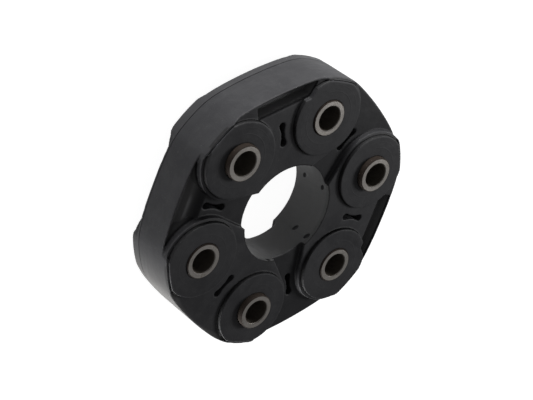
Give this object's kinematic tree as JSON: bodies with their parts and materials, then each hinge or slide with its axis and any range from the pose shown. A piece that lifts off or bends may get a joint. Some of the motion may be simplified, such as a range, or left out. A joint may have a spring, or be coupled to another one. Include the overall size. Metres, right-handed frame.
{
  "type": "driveshaft flex disc",
  "caption": "Rubber coupling disc with cord loops and steel bolt sleeves that joins a driveshaft's flanges.",
  "frame": {"origin": "centre of the disc, on its axis and midway between its two faces", "axes": "+Z along the driveshaft's axis towards the face that the picture shows, +X through the middle of sleeve a"},
  "size_m": [0.1384, 0.1332, 0.0342],
  "materials": {
    "rubber": "moulded black rubber, satin, with a slight grey bloom",
    "steel": "turned steel, matt, slightly stained",
    "cord": "wound polyester cord",
    "collar": "plain moulded plastic"
  },
  "bodies": {
    "root": {"rubber_body": "rubber", "steel_sleeve_a": "steel", "steel_sleeve_b": "steel", "steel_sleeve_c": "steel", "steel_sleeve_d": "steel", "steel_sleeve_e": "steel", "steel_sleeve_f": "steel", "cord_loop_ab": "cord", "cord_loop_cd": "cord", "cord_loop_ef": "cord", "cord_loop_bc_front": "cord", "cord_loop_bc_back": "cord", "cord_loop_de_front": "cord", "cord_loop_de_back": "cord", "cord_loop_fa_front": "cord", "cord_loop_fa_back": "cord", "collar_a_front": "collar", "collar_a_back": "collar", "collar_b_front": "collar", "collar_b_back": "collar", "collar_c_front": "collar", "collar_c_back": "collar", "collar_d_front": "collar", "collar_d_back": "collar", "collar_e_front": "collar", "collar_e_back": "collar", "collar_f_front": "collar", "collar_f_back": "collar"}
  },
  "joints": []
}
